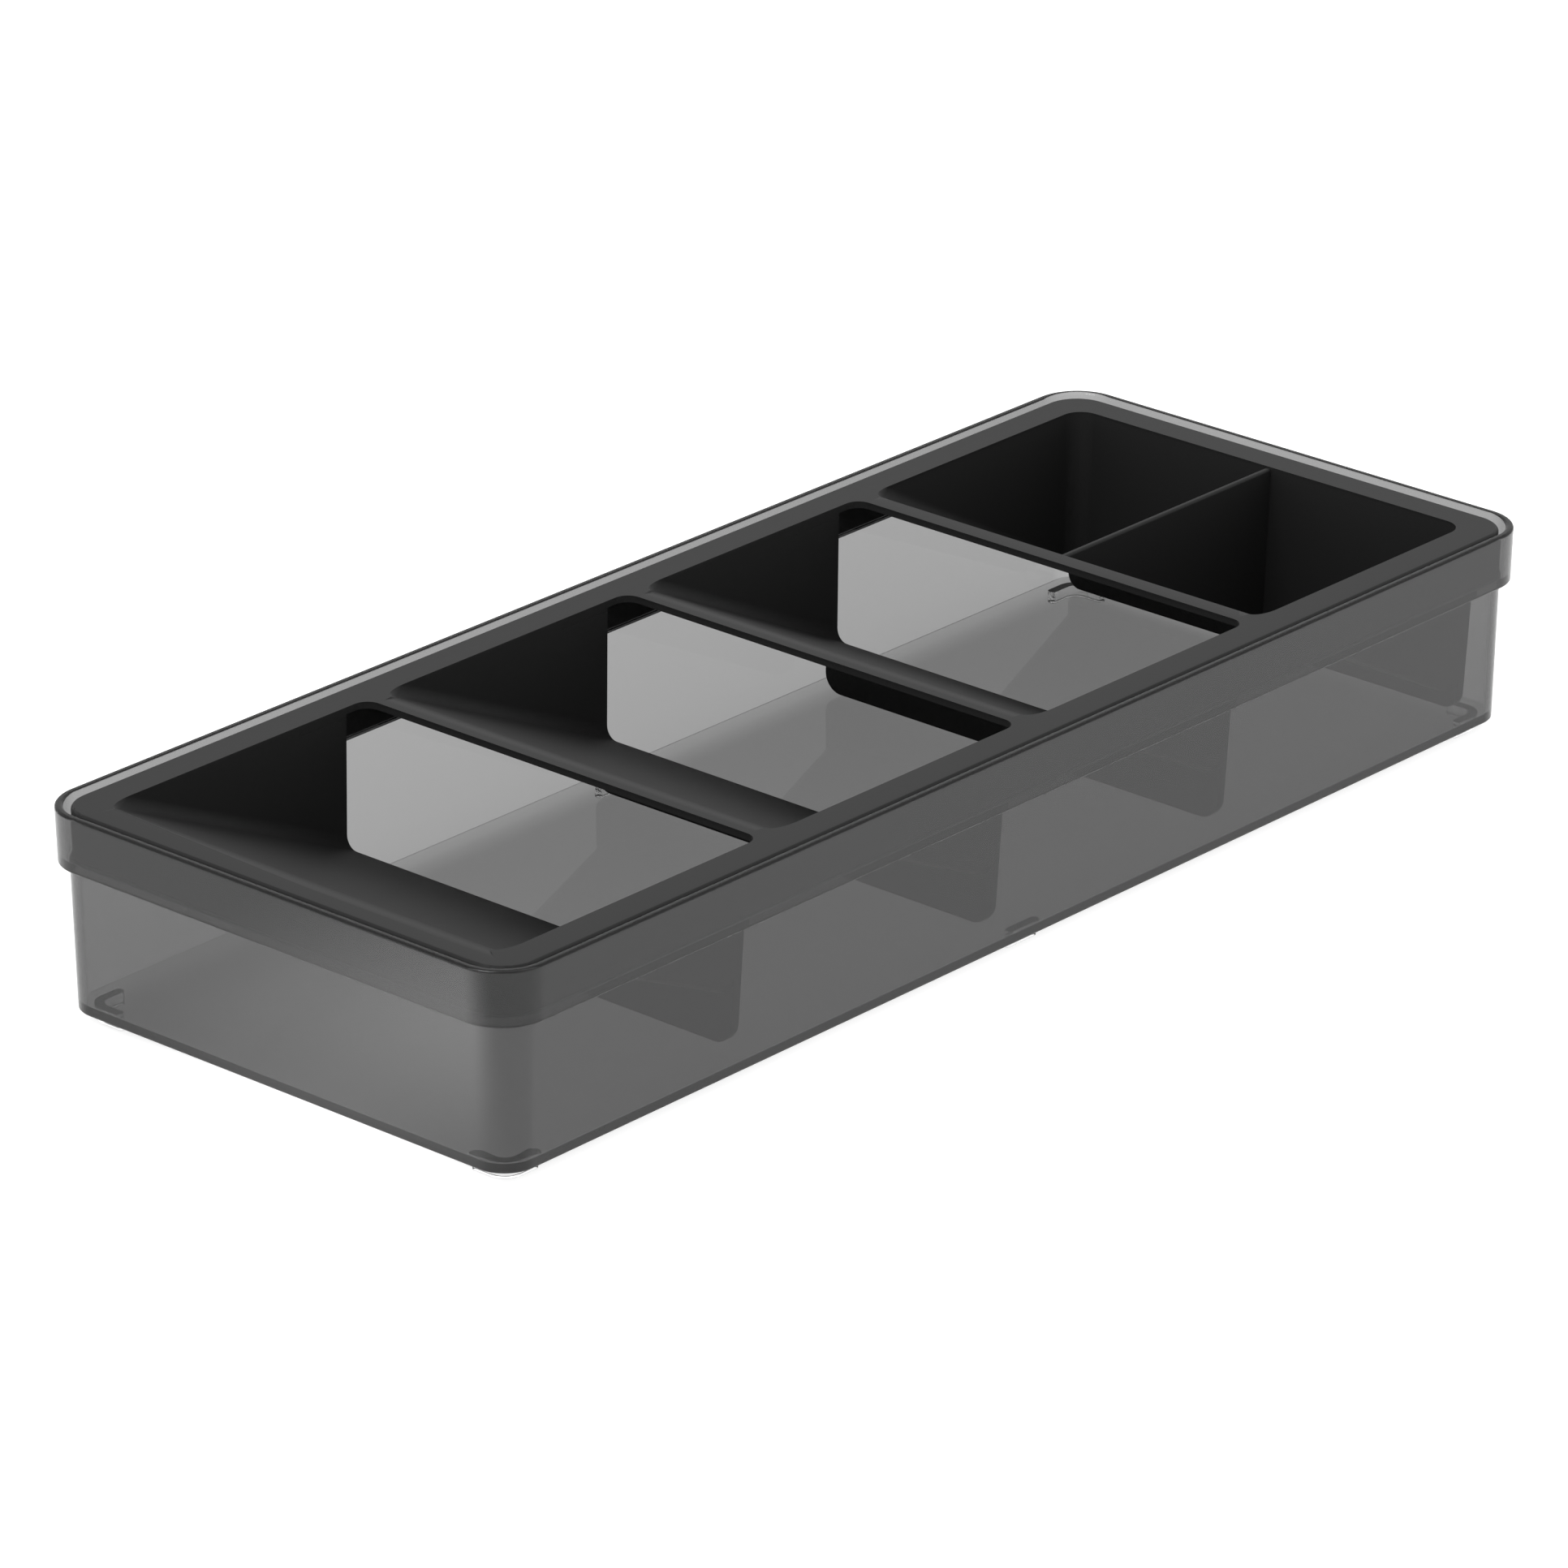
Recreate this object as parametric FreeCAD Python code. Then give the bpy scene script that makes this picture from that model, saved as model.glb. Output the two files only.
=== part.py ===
import FreeCAD, Part
import os

# Two-piece drawer organiser: a clear smoked tray with a stepped collar, six soft
# feet under its floor, and a black insert that hangs on the ledge inside the collar.
# Millimetres.  +X width, +Y length (the front short wall is at -Y), +Z up.
# Origin: centre of the footprint, on the surface that the feet stand on.

V = FreeCAD.Vector

# ---- outer tray -----------------------------------------------------------
TRAY_LENGTH = 375.0
TRAY_WIDTH = 150.8
TRAY_HEIGHT = 55.0           # feet included
FOOT_HEIGHT = 3.3
COLLAR_HEIGHT = 14.2
COLLAR_TAPER = 0.41          # per side, over the collar's height
COLLAR_STEP = 2.7            # per side, collar to lower body
BODY_TAPER = 0.97            # per side, over the lower body's height
RIM_WALL = 2.1
WALL = 2.0
FLOOR = 2.0
LEDGE_THICK = 1.9
RIM_CORNER_R = 12.9
BODY_CORNER_R = 9.6
OUTER_FLOOR_R = 0.6
INNER_FLOOR_R = 0.2
COLLAR_BOTTOM_R = 0.4
RIM_EDGE_R = 0.8

# ---- insert ---------------------------------------------------------------
INSERT_DROP = 0.7            # frame top below the rim
INSERT_LENGTH = 367.4
INSERT_WIDTH = 143.8
INSERT_CORNER_R = 9.6
PLATE = 1.8
SKIRT = 1.6
SKIRT_TAPER = 0.4
FRAME_EDGE_R = 1.0
FRONT_MARGIN = 8.0
BAR = 5.0
ROW_LENGTHS = (86.8, 86.5, 80.7, 81.8)
OPENING_WIDTH = 125.8
SHELL = 1.6                  # scoop side walls and ramps
SIDE_DRAFT = 0.03
END_DRAFT = 0.05
SCOOP_END_SETBACK = 6.9      # scoop's open end, ahead of the next bar's face
LIP_RISE = 15.4              # ramp's upper edge over the tray's underside
LAST_LIP_RISE = 6.6          # the same for the closed last row
APRON = 2.5
APRON_RISE = 2.6             # apron's lower edge over the tray's underside
SCOOP_CORNER_R = 3.4
POCKET_CORNER_R = 5.5        # upright back corners of the last row
APRON_CORNER_R = 5.2
END_WALL_CORNER_R = 4.0
OPENING_CORNER_R = 4.0
DIVIDER = 1.8
DIVIDER_EDGE_R = 0.7
DIVIDER_DROP = 0.4

# ---- feet -----------------------------------------------------------------
FOOT_BAND = 2.5
FOOT_SPAN_X = 134.4          # outer faces of the corner feet
FOOT_SPAN_Y = 358.6
FOOT_CORNER_R = 5.5
FOOT_ARM = 11.1
MID_FOOT_LENGTH = 11.0
FOOT_END_R = 1.0
FOOT_EDGE_R = 0.35

# ---- worked out -----------------------------------------------------------
BASE = FOOT_HEIGHT
RIM_Z = TRAY_HEIGHT
COLLAR_Z = RIM_Z - COLLAR_HEIGHT
LEDGE_Z = COLLAR_Z + LEDGE_THICK
FRAME_Z = RIM_Z - INSERT_DROP
HALF_X = TRAY_WIDTH / 2
HALF_Y = TRAY_LENGTH / 2
OVER = 1.0                   # how far cutters run past a face


def rounded_rect(half_x, half_y, radius, z):
    """Closed wire: a rectangle about the Z axis with round corners."""
    straight_x = half_x - radius
    straight_y = half_y - radius
    diagonal = radius * 0.5 ** 0.5
    corners = ((1, -1), (1, 1), (-1, 1), (-1, -1))
    ends = []
    for index, (sx, sy) in enumerate(corners):
        centre = V(sx * straight_x, sy * straight_y, z)
        on_y = centre + V(0, sy * radius, 0)
        on_x = centre + V(sx * radius, 0, 0)
        middle = centre + V(sx * diagonal, sy * diagonal, 0)
        first, last = (on_y, on_x) if index % 2 == 0 else (on_x, on_y)
        ends.append((first, middle, last))
    edges = []
    for index, (first, middle, last) in enumerate(ends):
        edges.append(Part.Arc(first, middle, last).toShape())
        edges.append(Part.makeLine(last, ends[(index + 1) % 4][0]))
    return Part.Wire(edges)


def tapered_block(low, high):
    """Solid between two rounded rectangles (half_x, half_y, radius, z)."""
    return Part.makeLoft([rounded_rect(*low), rounded_rect(*high)], True, True)


def level_edges(shape, z, tolerance=0.01):
    """Edges that lie wholly in the plane at height z."""
    found = []
    for edge in shape.Edges:
        box = edge.BoundBox
        if abs(box.ZMin - z) < tolerance and abs(box.ZMax - z) < tolerance:
            found.append(edge)
    return found


def prism_along_x(points, half_width):
    """Solid: a (y, z) polygon carried along X, centred on x = 0."""
    corners = [V(-half_width, y, z) for y, z in points]
    face = Part.Face(Part.makePolygon(corners + corners[:1]))
    return face.extrude(V(2 * half_width, 0, 0))


def outer_tray():
    """Smoked tray: lower body, wider collar, ledge where the insert hangs."""
    collar_low_x = HALF_X - COLLAR_TAPER
    collar_low_y = HALF_Y - COLLAR_TAPER
    body_top_x = collar_low_x - COLLAR_STEP
    body_top_y = collar_low_y - COLLAR_STEP
    body_low_x = body_top_x - BODY_TAPER
    body_low_y = body_top_y - BODY_TAPER
    collar = tapered_block((collar_low_x, collar_low_y, RIM_CORNER_R - 0.5, COLLAR_Z),
                           (HALF_X, HALF_Y, RIM_CORNER_R, RIM_Z))
    collar = collar.makeFillet(COLLAR_BOTTOM_R, level_edges(collar, COLLAR_Z))
    body = tapered_block((body_low_x, body_low_y, BODY_CORNER_R - 0.3, BASE),
                         (body_top_x, body_top_y, BODY_CORNER_R, LEDGE_Z))
    body = body.makeFillet(OUTER_FLOOR_R, level_edges(body, BASE))
    well = tapered_block(
        (body_low_x - WALL, body_low_y - WALL, BODY_CORNER_R - WALL - 0.3, BASE + FLOOR),
        (body_top_x - WALL, body_top_y - WALL, BODY_CORNER_R - WALL, LEDGE_Z + OVER))
    well = well.makeFillet(INNER_FLOOR_R, level_edges(well, BASE + FLOOR))
    rim_radius = RIM_CORNER_R - RIM_WALL
    mouth = tapered_block(
        (collar_low_x - RIM_WALL, collar_low_y - RIM_WALL, rim_radius - 0.5, LEDGE_Z),
        (HALF_X - RIM_WALL, HALF_Y - RIM_WALL, rim_radius, RIM_Z))
    tray = collar.fuse(body).cut(well).cut(mouth).removeSplitter()
    return tray.makeFillet(RIM_EDGE_R, level_edges(tray, RIM_Z))


def row_spans():
    """(front edge, back edge) of each row's opening, front to back."""
    spans = []
    front = -INSERT_LENGTH / 2 + FRONT_MARGIN
    for length in ROW_LENGTHS:
        spans.append((front, front + length))
        front = front + length + BAR
    return spans


def end_plane_y(top_y, z):
    """Y of a scoop's leaning end plane at height z."""
    return top_y - END_DRAFT * (FRAME_Z - z)


def drafted_bar(half_width, front, back_top, low_z, corner_radius):
    """Block under the frame with leaning sides, leaning back and round lower corners."""
    top_z = FRAME_Z + OVER
    wires = []
    for z in (low_z, top_z):
        half = half_width - SIDE_DRAFT * (FRAME_Z - z)
        back = end_plane_y(back_top, z)
        corners = [V(-half, front, z), V(half, front, z), V(half, back, z), V(-half, back, z)]
        wires.append(Part.makePolygon(corners + corners[:1]))
    block = Part.makeLoft(wires, True, True)
    if corner_radius == 0:
        return block
    lower = [edge for edge in level_edges(block, low_z) if edge.BoundBox.YLength > 1.0]
    return block.makeFillet(corner_radius, lower)


def ramp_wedge(front, end, lip_z, half_width, below):
    """Everything over a ramp that falls from the frame's top at front to lip_z at end.

    below moves the ramp's face down, square to itself.
    """
    slope = (FRAME_Z - lip_z) / (end - front)
    drop = below * (1 + slope ** 2) ** 0.5
    start = front - drop / slope - OVER / slope
    far = end + 4 * OVER
    far_z = FRAME_Z - drop - slope * (far - front)
    points = [(start, FRAME_Z + OVER), (far, FRAME_Z + OVER), (far, far_z)]
    return prism_along_x(points, half_width)


def round_trough(front, end_top, lip_z, half_width, radius, below, back_top, closed):
    """Scoop-shaped solid: ramp below, leaning sides, round lower corners.

    closed rounds the upright back corners and the foot of the back wall as well.
    """
    end = end_plane_y(end_top, lip_z)
    wedge = ramp_wedge(front, end, lip_z, half_width + 5, below)
    block = drafted_bar(half_width, front - 30, back_top, BASE, 0)
    trough = block.common(wedge)
    if closed:
        upright = [edge for edge in trough.Edges
                   if edge.BoundBox.ZLength > 20 and edge.BoundBox.YLength < 10]
        trough = trough.makeFillet(POCKET_CORNER_R, upright)
    lower = []
    for edge in trough.Edges:
        box = edge.BoundBox
        beside_ramp = box.ZLength > 10 and box.YLength > 20
        at_back = box.YMin > front + 20 and box.ZMax < lip_z + 10
        if beside_ramp or (closed and at_back):
            lower.append(edge)
    return trough.makeFillet(radius, lower)


def apron(end_top, half_width, lip_z, corner_radius):
    """Cross wall at a scoop's end, from beside the lip down to just over the tray's floor."""
    low_z = BASE + APRON_RISE
    block = drafted_bar(half_width, end_top - 60, end_top, low_z, corner_radius)
    top_z = lip_z + SCOOP_CORNER_R + SHELL
    points = [(end_plane_y(end_top, low_z) - APRON, low_z - OVER),
              (end_plane_y(end_top, low_z) + APRON, low_z - OVER),
              (end_plane_y(end_top, low_z) + APRON, top_z),
              (end_plane_y(end_top, top_z) - APRON, top_z)]
    return block.common(prism_along_x(points, half_width + 5))


def mouth_cutter(front, back):
    """Opening through the frame behind a scoop's open end, with two round back corners."""
    half_x = OPENING_WIDTH / 2
    middle = (front + back) / 2
    low_z = FRAME_Z - PLATE - OVER
    wire = rounded_rect(half_x, (back - front) / 2, OPENING_CORNER_R, low_z)
    cutter = Part.Face(wire).extrude(V(0, 0, PLATE + 2 * OVER))
    cutter.translate(V(0, middle, 0))
    return cutter


def frame():
    """Flat frame with a skirt all round that stands on the tray's ledge."""
    half_x = INSERT_WIDTH / 2
    half_y = INSERT_LENGTH / 2
    outside = tapered_block(
        (half_x - SKIRT_TAPER, half_y - SKIRT_TAPER, INSERT_CORNER_R - 0.3, LEDGE_Z),
        (half_x, half_y, INSERT_CORNER_R, FRAME_Z))
    outside = outside.makeFillet(FRAME_EDGE_R, level_edges(outside, FRAME_Z))
    inside_r = INSERT_CORNER_R - SKIRT
    inside = tapered_block(
        (half_x - SKIRT_TAPER - SKIRT, half_y - SKIRT_TAPER - SKIRT, inside_r - 0.3, LEDGE_Z - OVER),
        (half_x - SKIRT, half_y - SKIRT, inside_r, FRAME_Z - PLATE))
    return outside.cut(inside)


def divider(front, back):
    """Upright wall along the middle of the last row, with a rounded top."""
    height = FRAME_Z - DIVIDER_DROP - BASE
    wall = Part.makeBox(DIVIDER, back - front + 2 * PLATE, height)
    wall.translate(V(-DIVIDER / 2, front - PLATE, BASE))
    long_edges = [edge for edge in level_edges(wall, FRAME_Z - DIVIDER_DROP)
                  if edge.BoundBox.YLength > DIVIDER]
    return wall.makeFillet(DIVIDER_EDGE_R, long_edges)


def insert_tray():
    """Black insert: frame, three open scoops, and a closed last row with a divider."""
    shape = frame()
    half_in = OPENING_WIDTH / 2
    half_out = half_in + SHELL
    outer_r = SCOOP_CORNER_R + SHELL
    spans = row_spans()
    cutters = []
    for front, back in spans[:-1]:
        end_top = back - SCOOP_END_SETBACK
        lip_z = BASE + LIP_RISE
        scoop = round_trough(front, end_top, lip_z, half_out, outer_r, SHELL, end_top, False)
        shape = shape.fuse([scoop, apron(end_top, half_out, lip_z, APRON_CORNER_R)])
        cutters.append(round_trough(front, end_top, lip_z, half_in, SCOOP_CORNER_R, 0,
                                    end_top + 3 * OVER, False))
        cutters.append(mouth_cutter(end_top - 20, back))
    front, back = spans[-1]
    end_top = back + PLATE
    lip_z = BASE + LAST_LIP_RISE
    last = round_trough(front, end_top, lip_z, half_out, outer_r, SHELL, end_top, False)
    shape = shape.fuse([last, apron(end_top, half_out, lip_z, END_WALL_CORNER_R)])
    pocket = round_trough(front, back, lip_z, half_in, SCOOP_CORNER_R, 0, back, True)
    cutters.append(pocket)
    for cutter in cutters:
        shape = shape.cut(cutter)
    headroom = Part.makeBox(TRAY_WIDTH, TRAY_LENGTH, OVER * 3)
    headroom.translate(V(-HALF_X, -HALF_Y, FRAME_Z))
    shape = shape.cut(headroom)
    shape = shape.fuse(divider(front, back).common(pocket))
    return shape.removeSplitter()


def corner_foot(side_x, side_y):
    """L-shaped soft foot that follows a corner of the tray's floor."""
    half_x = FOOT_SPAN_X / 2
    half_y = FOOT_SPAN_Y / 2
    inner_x = half_x - FOOT_BAND
    inner_y = half_y - FOOT_BAND
    outside = Part.Face(rounded_rect(half_x, half_y, FOOT_CORNER_R, 0))
    inside = Part.Face(rounded_rect(inner_x, inner_y, FOOT_CORNER_R - FOOT_BAND, 0))
    ring = outside.cut(inside).extrude(V(0, 0, FOOT_HEIGHT))
    window = Part.makeBox(FOOT_ARM, FOOT_ARM, FOOT_HEIGHT)
    window.translate(V(half_x - FOOT_ARM, half_y - FOOT_ARM, 0))
    foot = ring.common(window)
    foot = round_foot(foot)
    if side_x < 0:
        foot = foot.mirror(V(0, 0, 0), V(1, 0, 0))
    if side_y < 0:
        foot = foot.mirror(V(0, 0, 0), V(0, 1, 0))
    return foot


def round_foot(foot):
    """Round a foot's upright end corners and its lower edge."""
    upright = []
    for edge in foot.Edges:
        box = edge.BoundBox
        straight = box.XLength < 0.01 and box.YLength < 0.01
        at_end = len(edge.Vertexes) == 2 and straight and is_sharp(foot, edge)
        if at_end:
            upright.append(edge)
    foot = foot.makeFillet(FOOT_END_R, upright)
    return foot.makeFillet(FOOT_EDGE_R, level_edges(foot, 0))


def is_sharp(shape, edge):
    """True where the two faces at an edge meet at a right angle."""
    faces = shape.ancestorsOfType(edge, Part.Face)
    kinds = [face.Surface.TypeId for face in faces]
    return all(kind == "Part::GeomPlane" for kind in kinds)


def side_foot(side_x):
    """Straight soft foot at the middle of a long side."""
    foot = Part.makeBox(FOOT_BAND, MID_FOOT_LENGTH, FOOT_HEIGHT)
    foot.translate(V(FOOT_SPAN_X / 2 - FOOT_BAND, -MID_FOOT_LENGTH / 2, 0))
    foot = round_foot(foot)
    return foot if side_x > 0 else foot.mirror(V(0, 0, 0), V(1, 0, 0))


def write(name, shape):
    """Write one node's STEP file."""
    solid = shape.Solids[0] if len(shape.Solids) == 1 else shape
    solid.exportStep("parts/" + name + ".step")
    box = shape.optimalBoundingBox(True, False)
    print(name, "solids", len(shape.Solids), "valid", shape.isValid(),
          "volume", round(shape.Volume), "z", round(box.ZMin, 2), round(box.ZMax, 2))


os.makedirs("parts", exist_ok=True)
write("outer_tray", outer_tray())
write("insert_tray", insert_tray())
for end_name, end_sign in (("front", -1), ("back", 1)):
    for side_name, side_sign in (("left", -1), ("right", 1)):
        write("foot_" + end_name + "_" + side_name, corner_foot(side_sign, end_sign))
for side_name, side_sign in (("left", -1), ("right", 1)):
    write("foot_middle_" + side_name, side_foot(side_sign))
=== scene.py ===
import math

import bmesh
import bpy
import numpy as np
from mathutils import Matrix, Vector


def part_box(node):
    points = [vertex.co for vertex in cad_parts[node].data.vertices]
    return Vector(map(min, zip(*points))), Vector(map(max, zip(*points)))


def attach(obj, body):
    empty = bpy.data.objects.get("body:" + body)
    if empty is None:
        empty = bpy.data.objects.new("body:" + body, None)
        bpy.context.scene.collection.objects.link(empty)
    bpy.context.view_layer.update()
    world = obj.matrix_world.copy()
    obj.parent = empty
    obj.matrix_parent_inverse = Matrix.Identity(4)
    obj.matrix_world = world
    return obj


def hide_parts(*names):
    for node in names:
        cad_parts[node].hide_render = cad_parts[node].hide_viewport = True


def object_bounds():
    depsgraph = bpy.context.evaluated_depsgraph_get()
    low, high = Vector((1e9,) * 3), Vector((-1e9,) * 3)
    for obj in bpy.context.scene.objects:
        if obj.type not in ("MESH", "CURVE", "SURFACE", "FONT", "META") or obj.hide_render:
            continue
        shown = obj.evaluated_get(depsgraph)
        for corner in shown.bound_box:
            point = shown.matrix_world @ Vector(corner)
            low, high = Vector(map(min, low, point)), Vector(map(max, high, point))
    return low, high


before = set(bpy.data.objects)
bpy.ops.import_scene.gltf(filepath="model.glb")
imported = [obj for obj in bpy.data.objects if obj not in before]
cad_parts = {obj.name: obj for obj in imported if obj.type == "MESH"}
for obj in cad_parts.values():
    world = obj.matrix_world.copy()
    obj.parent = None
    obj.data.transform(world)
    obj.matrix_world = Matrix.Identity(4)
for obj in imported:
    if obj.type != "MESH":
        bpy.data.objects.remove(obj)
cad_low, cad_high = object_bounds()


# ---- outer tray ------------------------------------------------------------
# One moulding of clear smoked plastic: a body with slightly leaning walls and a
# flat floor, a wider collar round the top, and a ledge inside where the two meet.
# Polished mould faces, so both skins of every wall are smooth and clear.

TRAY_HALF_X = cad_high.x
TRAY_HALF_Y = cad_high.y
RIM_TOP = cad_high.z
TRAY_CORNER = 0.0128         # corner radius at the rim's outer face
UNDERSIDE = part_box("outer_tray")[0].z
COLLAR_BOTTOM = RIM_TOP - 0.0142
LEDGE_TOP = COLLAR_BOTTOM + 0.0019
FLOOR_TOP = UNDERSIDE + 0.0020
RIM_WALL = 0.0021            # the collar's thickness
COLLAR_LEAN = 0.00041        # how far the collar draws in over its height
BODY_INSET_TOP = 0.00316     # body's outer face behind the rim's, at the collar
BODY_INSET_LOW = 0.00408     # the same at the floor
BODY_WALL = 0.0020
WELL_INSET_TOP = 0.00511     # body's inner face at the ledge
WELL_INSET_LOW = BODY_INSET_LOW + BODY_WALL
FLOOR_INSET = 0.0090         # where the flat floor closes as one face
UNDER_EDGE_RADIUS = 0.0006   # roundings of the section, in the order it is drawn
COLLAR_FOOT_RADIUS = 0.0002
COLLAR_EDGE_RADIUS = 0.0004
RIM_RADIUS = 0.0008
LEDGE_FOOT_RADIUS = 0.0002
LEDGE_EDGE_RADIUS = 0.0003
WELL_FLOOR_RADIUS = 0.0002
SECTION_STEPS = 8            # straight pieces in one rounding of the section
CORNER_STEPS = 24            # straight pieces in one corner of the tray


def rounded_profile(corners, radii, steps):
    """Open line with an arc in place of each inner corner.

    Each arc touches both of its sides: it starts radius / tan(half the corner's
    angle) before the corner. Returns points and unit normals to the left of travel.
    """
    corners = np.asarray(corners, float)
    points, normals = [corners[0]], []
    for before, corner, after, radius in zip(corners, corners[1:], corners[2:], radii):
        into = (corner - before) / np.linalg.norm(corner - before)
        out = (after - corner) / np.linalg.norm(after - corner)
        turn = math.atan2(into[0] * out[1] - into[1] * out[0], into @ out)
        reach = radius * math.tan(abs(turn) / 2)
        side = math.copysign(1.0, turn)
        left = np.array([-into[1], into[0]])
        centre = corner - into * reach + left * side * radius
        angle = np.linspace(0.0, turn, steps + 1)
        cos, sin = np.cos(angle), np.sin(angle)
        left_turned = np.stack([left[0] * cos - left[1] * sin,
                                left[0] * sin + left[1] * cos], 1)
        if not normals:
            normals.append(left)
        points.extend(centre - left_turned * side * radius)
        normals.extend(left_turned)
    points.append(corners[-1])
    normals.append(normals[-1])
    return np.array(points), np.array(normals)


def rounded_rectangle(half_x, half_y, radius, steps):
    """Closed ring of corner centres and outward directions.

    A ring at any offset is the centre plus (radius - inset) times the direction, so
    every ring of a wall is concentric with the rim. Runs anticlockwise from above.
    """
    quarter = np.linspace(0.0, math.pi / 2, steps + 1)
    angle = np.concatenate([quarter + k * math.pi / 2 for k in range(4)])
    signs = np.repeat([[1, 1], [-1, 1], [-1, -1], [1, -1]], steps + 1, axis=0)
    centre = signs * np.array([half_x - radius, half_y - radius])
    return centre, np.stack([np.cos(angle), np.sin(angle)], 1)


def add_mesh(name, vertices, faces, normals=None):
    """Mesh object from arrays, smooth shaded, with exact normals where given."""
    mesh = bpy.data.meshes.new(name)
    mesh.from_pydata(vertices.tolist(), [], [face.tolist() for face in faces])
    mesh.update()
    mesh.shade_smooth()
    if normals is not None:
        mesh.normals_split_custom_set_from_vertices(normals.tolist())
    obj = bpy.data.objects.new(name, mesh)
    bpy.context.scene.collection.objects.link(obj)
    return obj


def wall_round(name, profile, profile_normals, centre, direction, radius):
    """Shell: a profile of (inset, height) carried round a ring, closed by two flat faces.

    Point (i, j) is centre j plus (radius - inset i) times direction j, at height i.
    The normal is direction j times the profile normal's outward part, plus its rise.
    """
    rows, columns = len(profile), len(centre)
    flat = centre[None] + (radius - profile[:, 0])[:, None, None] * direction[None]
    height = np.repeat(profile[:, 1], columns).reshape(rows, columns, 1)
    vertices = np.concatenate([flat, height], 2).reshape(-1, 3)
    outward = -profile_normals[:, 0][:, None, None] * direction[None]
    rise = np.repeat(profile_normals[:, 1], columns).reshape(rows, columns, 1)
    normals = np.concatenate([outward, rise], 2).reshape(-1, 3)
    index = np.arange(rows * columns).reshape(rows, columns)
    right = np.roll(index, -1, axis=1)
    quads = np.stack([index[:-1], right[:-1], right[1:], index[1:]], 2).reshape(-1, 4)
    faces = list(quads) + [index[0][::-1], index[-1]]
    return add_mesh(name, vertices, faces, normals)


tray_profile, tray_normals = rounded_profile(
    [(FLOOR_INSET, UNDERSIDE),
     (BODY_INSET_LOW, UNDERSIDE),
     (BODY_INSET_TOP, COLLAR_BOTTOM),
     (COLLAR_LEAN, COLLAR_BOTTOM),
     (0.0, RIM_TOP),
     (RIM_WALL, RIM_TOP),
     (RIM_WALL + COLLAR_LEAN, LEDGE_TOP),
     (WELL_INSET_TOP, LEDGE_TOP),
     (WELL_INSET_LOW, FLOOR_TOP),
     (FLOOR_INSET, FLOOR_TOP)],
    [UNDER_EDGE_RADIUS, COLLAR_FOOT_RADIUS, COLLAR_EDGE_RADIUS, RIM_RADIUS, RIM_RADIUS,
     LEDGE_FOOT_RADIUS, LEDGE_EDGE_RADIUS, WELL_FLOOR_RADIUS],
    SECTION_STEPS)
tray_centre, tray_direction = rounded_rectangle(TRAY_HALF_X, TRAY_HALF_Y,
                                                TRAY_CORNER, CORNER_STEPS)
outer_tray = wall_round("outer_tray_clear", tray_profile, tray_normals,
                        tray_centre, tray_direction, TRAY_CORNER)


SMOKED_IOR = 1.49
SMOKED_ROUGHNESS = 0.01
SMOKED_TINT = 0.2
SMOKED_DENSITY = 640.0


def clear_plastic(name, ior, roughness, tint, density):
    """Clear plastic: a refracting skin, and a body that darkens light as it goes.

    Light is cut by exp(-(1 - tint) * density * metres travelled).
    """
    material = bpy.data.materials.new(name)
    material.use_nodes = True
    nodes, links = material.node_tree.nodes, material.node_tree.links
    shader = nodes["Principled BSDF"]
    shader.inputs["Base Color"].default_value = (1.0, 1.0, 1.0, 1.0)
    shader.inputs["Transmission Weight"].default_value = 1.0
    shader.inputs["IOR"].default_value = ior
    shader.inputs["Roughness"].default_value = roughness
    body = nodes.new("ShaderNodeVolumeAbsorption")
    body.inputs["Color"].default_value = (tint, tint, tint, 1.0)
    body.inputs["Density"].default_value = density
    links.new(body.outputs["Volume"], nodes["Material Output"].inputs["Volume"])
    return material


outer_tray.data.materials.append(
    clear_plastic("smoked_clear_plastic", SMOKED_IOR, SMOKED_ROUGHNESS,
                  SMOKED_TINT, SMOKED_DENSITY))
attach(outer_tray, "tray")
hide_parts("outer_tray")


# ---- insert ----------------------------------------------------------------
# One moulding of matt black plastic whose skirt stands on the tray's ledge: a flat
# frame, three ramped scoops with open ends and a closed end row with a thin divider.
# The mould breaks every edge with a small radius and leaves the hollows rougher.

EDGE_ROUNDING = 0.0007
EDGE_ANGLE = math.radians(22)        # an edge that turns less than this stays as it is
EDGE_SEGMENTS = 3
RAMP_BLEND = 0.0030                  # how far a ramp's soft start reaches each way
RAMP_SEGMENTS = 6
RAMP_START_LENGTH = 0.080            # a cross edge longer than this starts a ramp
RAMP_ANGLE = (math.radians(15), math.radians(40))
SAME_PLACE = 0.000002                # points closer than this are one point
SAME_PLANE = math.radians(0.5)       # faces that turn less than this are one face
SAME_HEIGHT = 0.00001
FACE_WEIGHT = 100                    # how far large faces rule the shading of edges
FRAME_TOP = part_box("insert_tray")[1].z


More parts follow.
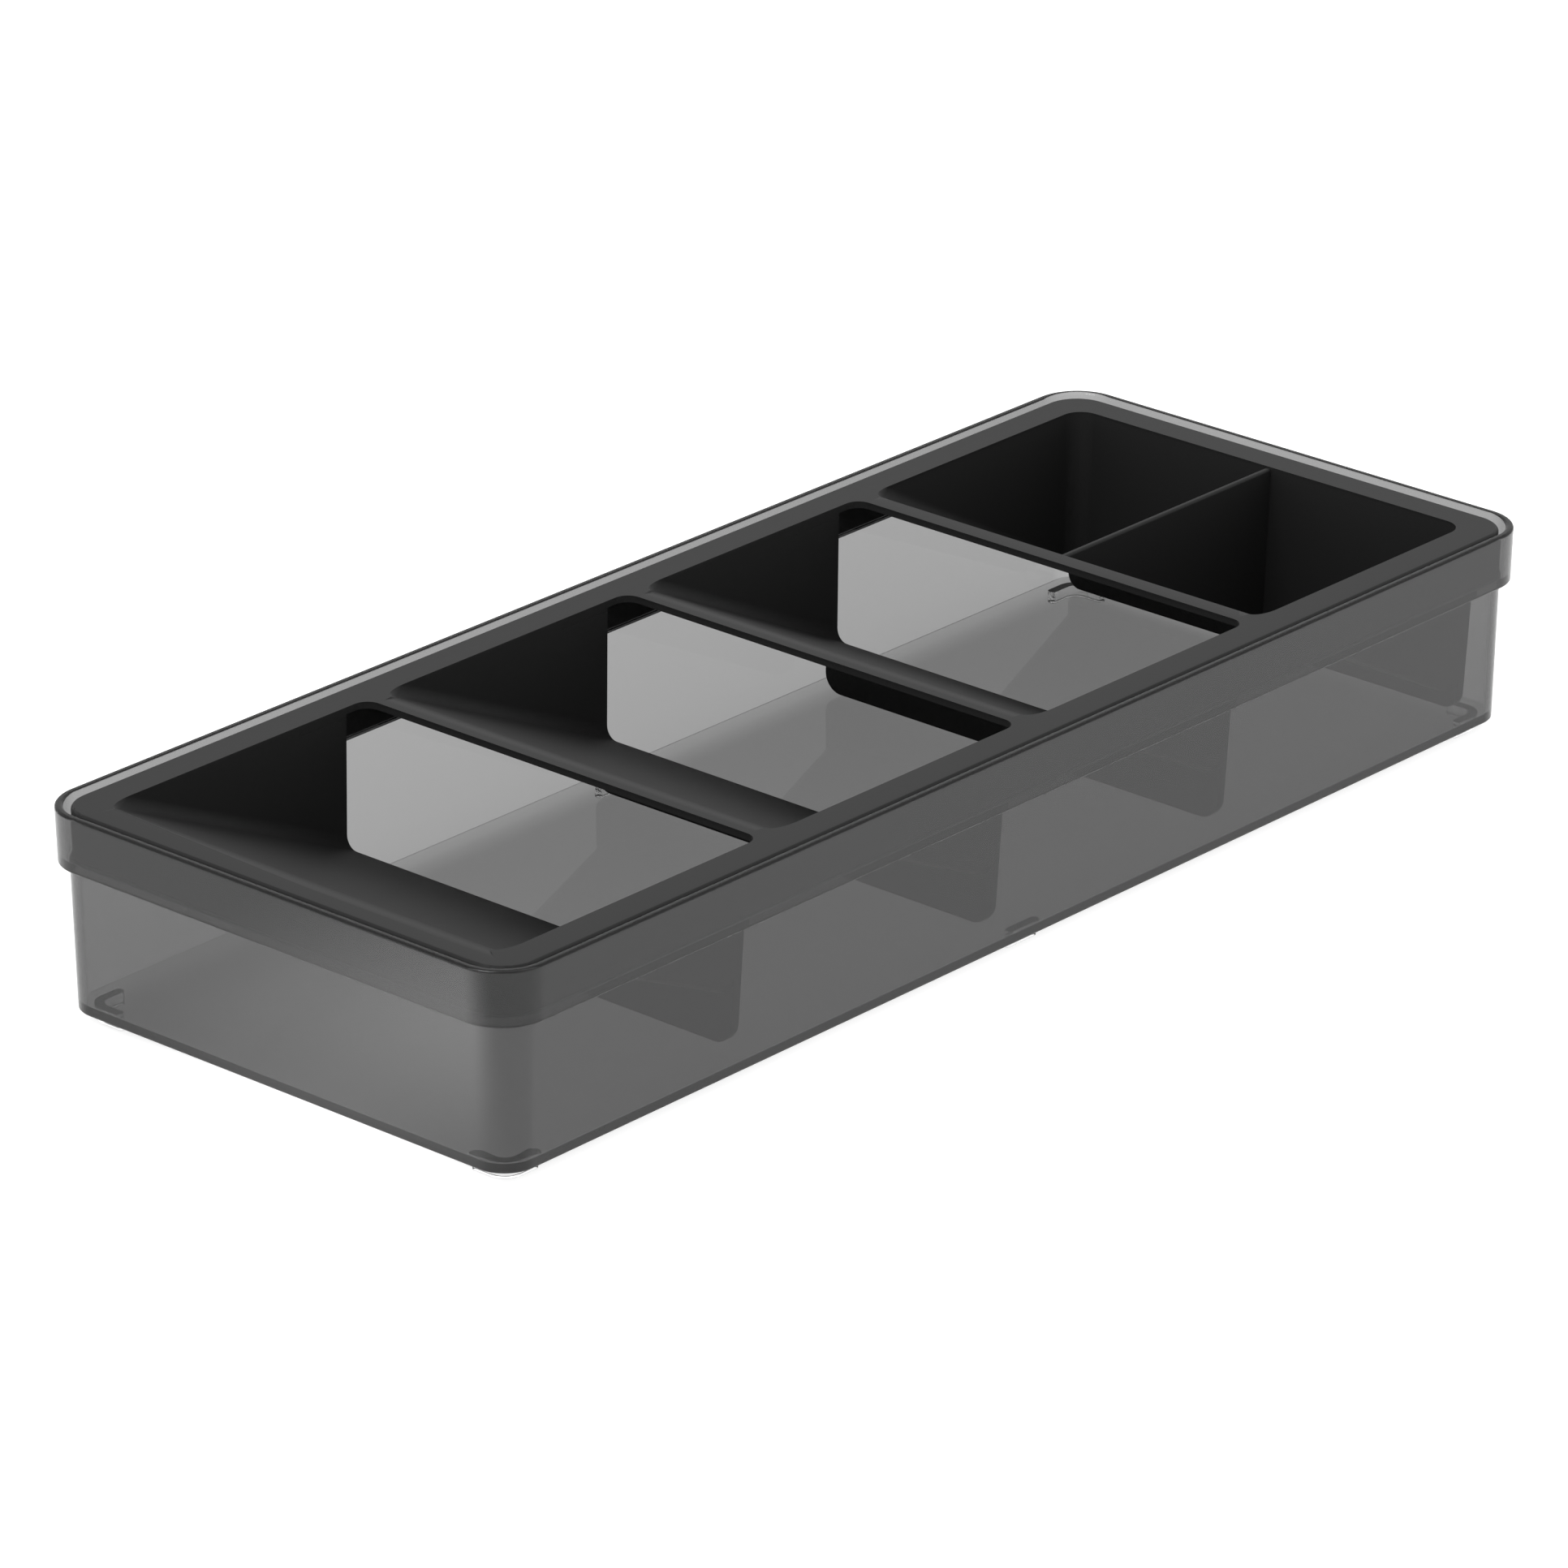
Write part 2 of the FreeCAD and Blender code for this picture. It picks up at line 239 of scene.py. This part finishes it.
def merged_copy(node, name):
    """Copy of a CAD node with its triangles merged and flat faces joined.

    Each face is then cut into convex pieces, so that it fills without overlaps. The
    edges where a ramp leaves the frame's top get a bevel weight of 1.
    """
    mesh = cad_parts[node].data.copy()
    mesh.name = name
    work = bmesh.new()
    work.from_mesh(mesh)
    bmesh.ops.remove_doubles(work, verts=work.verts, dist=SAME_PLACE)
    bmesh.ops.dissolve_limit(work, angle_limit=SAME_PLANE,
                             verts=work.verts, edges=work.edges)
    bmesh.ops.connect_verts_concave(work, faces=work.faces)
    weight = work.edges.layers.float.new("bevel_weight_edge")
    for edge in work.edges:
        first, last = edge.verts[0].co, edge.verts[1].co
        across = abs(first.x - last.x) > RAMP_START_LENGTH
        on_top = min(first.z, last.z) > FRAME_TOP - SAME_HEIGHT
        if across and on_top and RAMP_ANGLE[0] < edge.calc_face_angle(0.0) < RAMP_ANGLE[1]:
            edge[weight] = 1.0
    work.to_mesh(mesh)
    work.free()
    mesh.shade_smooth()
    obj = bpy.data.objects.new(name, mesh)
    bpy.context.scene.collection.objects.link(obj)
    return obj


insert = merged_copy("insert_tray", "insert_black")
blend = insert.modifiers.new("ramp_starts", "BEVEL")
blend.width = RAMP_BLEND
blend.segments = RAMP_SEGMENTS
blend.limit_method = "WEIGHT"
blend.use_clamp_overlap = False
bevel = insert.modifiers.new("broken_edges", "BEVEL")
bevel.width = EDGE_ROUNDING
bevel.segments = EDGE_SEGMENTS
bevel.limit_method = "ANGLE"
bevel.angle_limit = EDGE_ANGLE
bevel.use_clamp_overlap = True
flat_faces = insert.modifiers.new("flat_faces", "WEIGHTED_NORMAL")
flat_faces.mode = "FACE_AREA"
flat_faces.weight = FACE_WEIGHT

BLACK_SHADE = 0.018
BLACK_SHINE = 0.30
BLACK_IOR = 1.5
FRAME_ROUGHNESS = 0.40
HOLLOW_ROUGHNESS = 0.62
TEXTURE_CHANGE = (0.0012, 0.0002)    # where roughness changes, below the frame's top


def matt_plastic(name, shade, shine):
    """Opaque plastic, rougher below the frame's top face.

    Roughness runs from HOLLOW_ROUGHNESS to FRAME_ROUGHNESS between the two heights in
    TEXTURE_CHANGE.
    """
    material = bpy.data.materials.new(name)
    material.use_nodes = True
    nodes, links = material.node_tree.nodes, material.node_tree.links
    shader = nodes["Principled BSDF"]
    shader.inputs["Base Color"].default_value = (shade, shade, shade, 1.0)
    shader.inputs["IOR"].default_value = BLACK_IOR
    shader.inputs["Specular IOR Level"].default_value = shine
    place = nodes.new("ShaderNodeTexCoord")
    split = nodes.new("ShaderNodeSeparateXYZ")
    texture = nodes.new("ShaderNodeMapRange")
    texture.inputs["From Min"].default_value = FRAME_TOP - TEXTURE_CHANGE[0]
    texture.inputs["From Max"].default_value = FRAME_TOP - TEXTURE_CHANGE[1]
    texture.inputs["To Min"].default_value = HOLLOW_ROUGHNESS
    texture.inputs["To Max"].default_value = FRAME_ROUGHNESS
    links.new(place.outputs["Object"], split.inputs["Vector"])
    links.new(split.outputs["Z"], texture.inputs["Value"])
    links.new(texture.outputs["Result"], shader.inputs["Roughness"])
    return material


insert.data.materials.clear()
insert.data.materials.append(matt_plastic("matt_black_plastic", BLACK_SHADE, BLACK_SHINE))
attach(insert, "insert")
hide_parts("insert_tray")


# ---- feet ------------------------------------------------------------------
# Six soft, nearly clear feet stuck under the tray's floor: an L at each corner and
# a short bar at the middle of each long side.

FOOT_IOR = 1.42
FOOT_ROUGHNESS = 0.12
FOOT_TINT = 0.5
FOOT_DENSITY = 30.0

soft_clear = clear_plastic("soft_clear_plastic", FOOT_IOR, FOOT_ROUGHNESS,
                           FOOT_TINT, FOOT_DENSITY)
for foot in ("foot_front_left", "foot_front_right", "foot_back_left",
             "foot_back_right", "foot_middle_left", "foot_middle_right"):
    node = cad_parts[foot]
    node.data.materials.clear()
    node.data.materials.append(soft_clear)


# ---- stage -----------------------------------------------------------------
# A pale floor that glows like a light table, dimmer under the tray as a painted shadow and
# brighter in one patch in front of it as a painted pool of light, in an evenly lit room with
# one weak softbox in front.

FLOOR_SHADE = 0.4
FLOOR_GLOW = 1.10
FLOOR_SIZE = 30.0
# Painted pool of light: the floor glows brighter in one round patch in front of the tray.
PAINTED_POOL_GLOW = 1.4             # what the bright patch in front adds at its centre
PAINTED_POOL_CENTRE = (0.01, -0.25, 0.0)
PAINTED_POOL_RADIUS = 0.10
# Painted shadow: the board's glow is turned down under the tray, in place of the shadow the
# tray casts.
PAINTED_SHADOW_GLOW = 0.78           # the board's glow under the tray, where less light falls
PAINTED_SHADOW_EDGE = 0.012           # how far inside the tray's outline that shade starts
ROOM_GLOW = 0.64
KEY_PLACE = (0.0, -2.2, 2.6)
KEY_TARGET = (0.0, 0.0, 0.0)
KEY_SIZE = 1.5
KEY_POWER = 27.0


def studio_floor(size, shade, glow):
    """Flat square of plain glowing board, dimmer under the tray (a painted shadow), brighter
    in front (painted light).

    The glow is PAINTED_SHADOW_GLOW inside the tray's outline, a painted shadow, and rises to
    glow over the last PAINTED_SHADOW_EDGE before it. The painted pool of light in front adds
    PAINTED_POOL_GLOW times a smooth hump that is 1 at its centre and 0 at
    PAINTED_POOL_RADIUS.
    """
    corner = size / 2
    vertices = np.array([(-corner, -corner, 0.0), (corner, -corner, 0.0),
                         (corner, corner, 0.0), (-corner, corner, 0.0)])
    floor = add_mesh("studio_floor", vertices, [np.arange(4)])
    board = bpy.data.materials.new("pale_board")
    board.use_nodes = True
    nodes, links = board.node_tree.nodes, board.node_tree.links
    shader = nodes["Principled BSDF"]
    shader.inputs["Base Color"].default_value = (shade, shade, shade, 1.0)
    shader.inputs["Roughness"].default_value = 1.0
    shader.inputs["Specular IOR Level"].default_value = 0.0
    shader.inputs["Emission Color"].default_value = (1.0, 1.0, 1.0, 1.0)
    place = nodes.new("ShaderNodeTexCoord")
    away = nodes.new("ShaderNodeVectorMath")
    away.operation = "DISTANCE"
    away.inputs[1].default_value = PAINTED_POOL_CENTRE
    # Painted pool of light: extra glow in a round patch in front of the tray.
    painted_pool = nodes.new("ShaderNodeMapRange")
    painted_pool.interpolation_type = "SMOOTHSTEP"
    painted_pool.inputs["From Min"].default_value = 0.0
    painted_pool.inputs["From Max"].default_value = PAINTED_POOL_RADIUS
    painted_pool.inputs["To Min"].default_value = PAINTED_POOL_GLOW
    painted_pool.inputs["To Max"].default_value = 0.0
    mirrored = nodes.new("ShaderNodeVectorMath")
    mirrored.operation = "ABSOLUTE"
    outside = nodes.new("ShaderNodeVectorMath")
    outside.operation = "SUBTRACT"
    outside.inputs[1].default_value = (TRAY_HALF_X, TRAY_HALF_Y, 0.0)
    split = nodes.new("ShaderNodeSeparateXYZ")
    farther = nodes.new("ShaderNodeMath")
    farther.operation = "MAXIMUM"
    # Painted shadow: less glow under the tray's outline.
    painted_shadow = nodes.new("ShaderNodeMapRange")
    painted_shadow.inputs["From Min"].default_value = -PAINTED_SHADOW_EDGE
    painted_shadow.inputs["From Max"].default_value = 0.0
    painted_shadow.inputs["To Min"].default_value = PAINTED_SHADOW_GLOW
    painted_shadow.inputs["To Max"].default_value = glow
    total = nodes.new("ShaderNodeMath")
    total.operation = "ADD"
    links.new(place.outputs["Object"], mirrored.inputs[0])
    links.new(mirrored.outputs["Vector"], outside.inputs[0])
    links.new(outside.outputs["Vector"], split.inputs["Vector"])
    links.new(split.outputs["X"], farther.inputs[0])
    links.new(split.outputs["Y"], farther.inputs[1])
    links.new(farther.outputs["Value"], painted_shadow.inputs["Value"])
    links.new(painted_pool.outputs["Result"], total.inputs[0])
    links.new(painted_shadow.outputs["Result"], total.inputs[1])
    links.new(place.outputs["Object"], away.inputs[0])
    links.new(away.outputs["Value"], painted_pool.inputs["Value"])
    links.new(total.outputs["Value"], shader.inputs["Emission Strength"])
    floor.data.materials.append(board)
    return floor


studio_floor(FLOOR_SIZE, FLOOR_SHADE, FLOOR_GLOW)

room = bpy.data.worlds.new("room")
room.use_nodes = True
room.node_tree.nodes["Background"].inputs["Color"].default_value = (1.0, 1.0, 1.0, 1.0)
room.node_tree.nodes["Background"].inputs["Strength"].default_value = ROOM_GLOW
bpy.context.scene.world = room


def softbox(name, place, target, size, power):
    """Square area light that faces a point."""
    lamp = bpy.data.lights.new(name, "AREA")
    lamp.shape = "SQUARE"
    lamp.size = size
    lamp.energy = power
    obj = bpy.data.objects.new(name, lamp)
    obj.location = place
    obj.rotation_euler = (Vector(target) - Vector(place)).to_track_quat("-Z", "Y").to_euler()
    bpy.context.scene.collection.objects.link(obj)
    return obj


softbox("key", KEY_PLACE, KEY_TARGET, KEY_SIZE, KEY_POWER)


# ---- camera ----------------------------------------------------------------
# Long lens from the front right, a little above the tray.

AZIMUTH = math.radians(41.685)       # how far the view turns left of straight back
ELEVATION = math.radians(22.915)     # how far it tips down
CAMERA_PLACE = (1.3161, -1.4880, 0.8617)
SENSOR_WIDTH = 36.0                  # millimetres, as is the focal length
FOCAL_LENGTH = 204.52
FARTHEST = 100.0

camera_data = bpy.data.cameras.new("camera")
camera_data.sensor_width = SENSOR_WIDTH
camera_data.lens = FOCAL_LENGTH
camera_data.clip_end = FARTHEST
camera = bpy.data.objects.new("camera", camera_data)
camera.location = CAMERA_PLACE
look = Vector((-math.sin(AZIMUTH) * math.cos(ELEVATION),
               math.cos(AZIMUTH) * math.cos(ELEVATION),
               -math.sin(ELEVATION)))
camera.rotation_euler = look.to_track_quat("-Z", "Y").to_euler()
bpy.context.scene.collection.objects.link(camera)
bpy.context.scene.camera = camera
bpy.context.scene.view_settings.view_transform = "Standard"
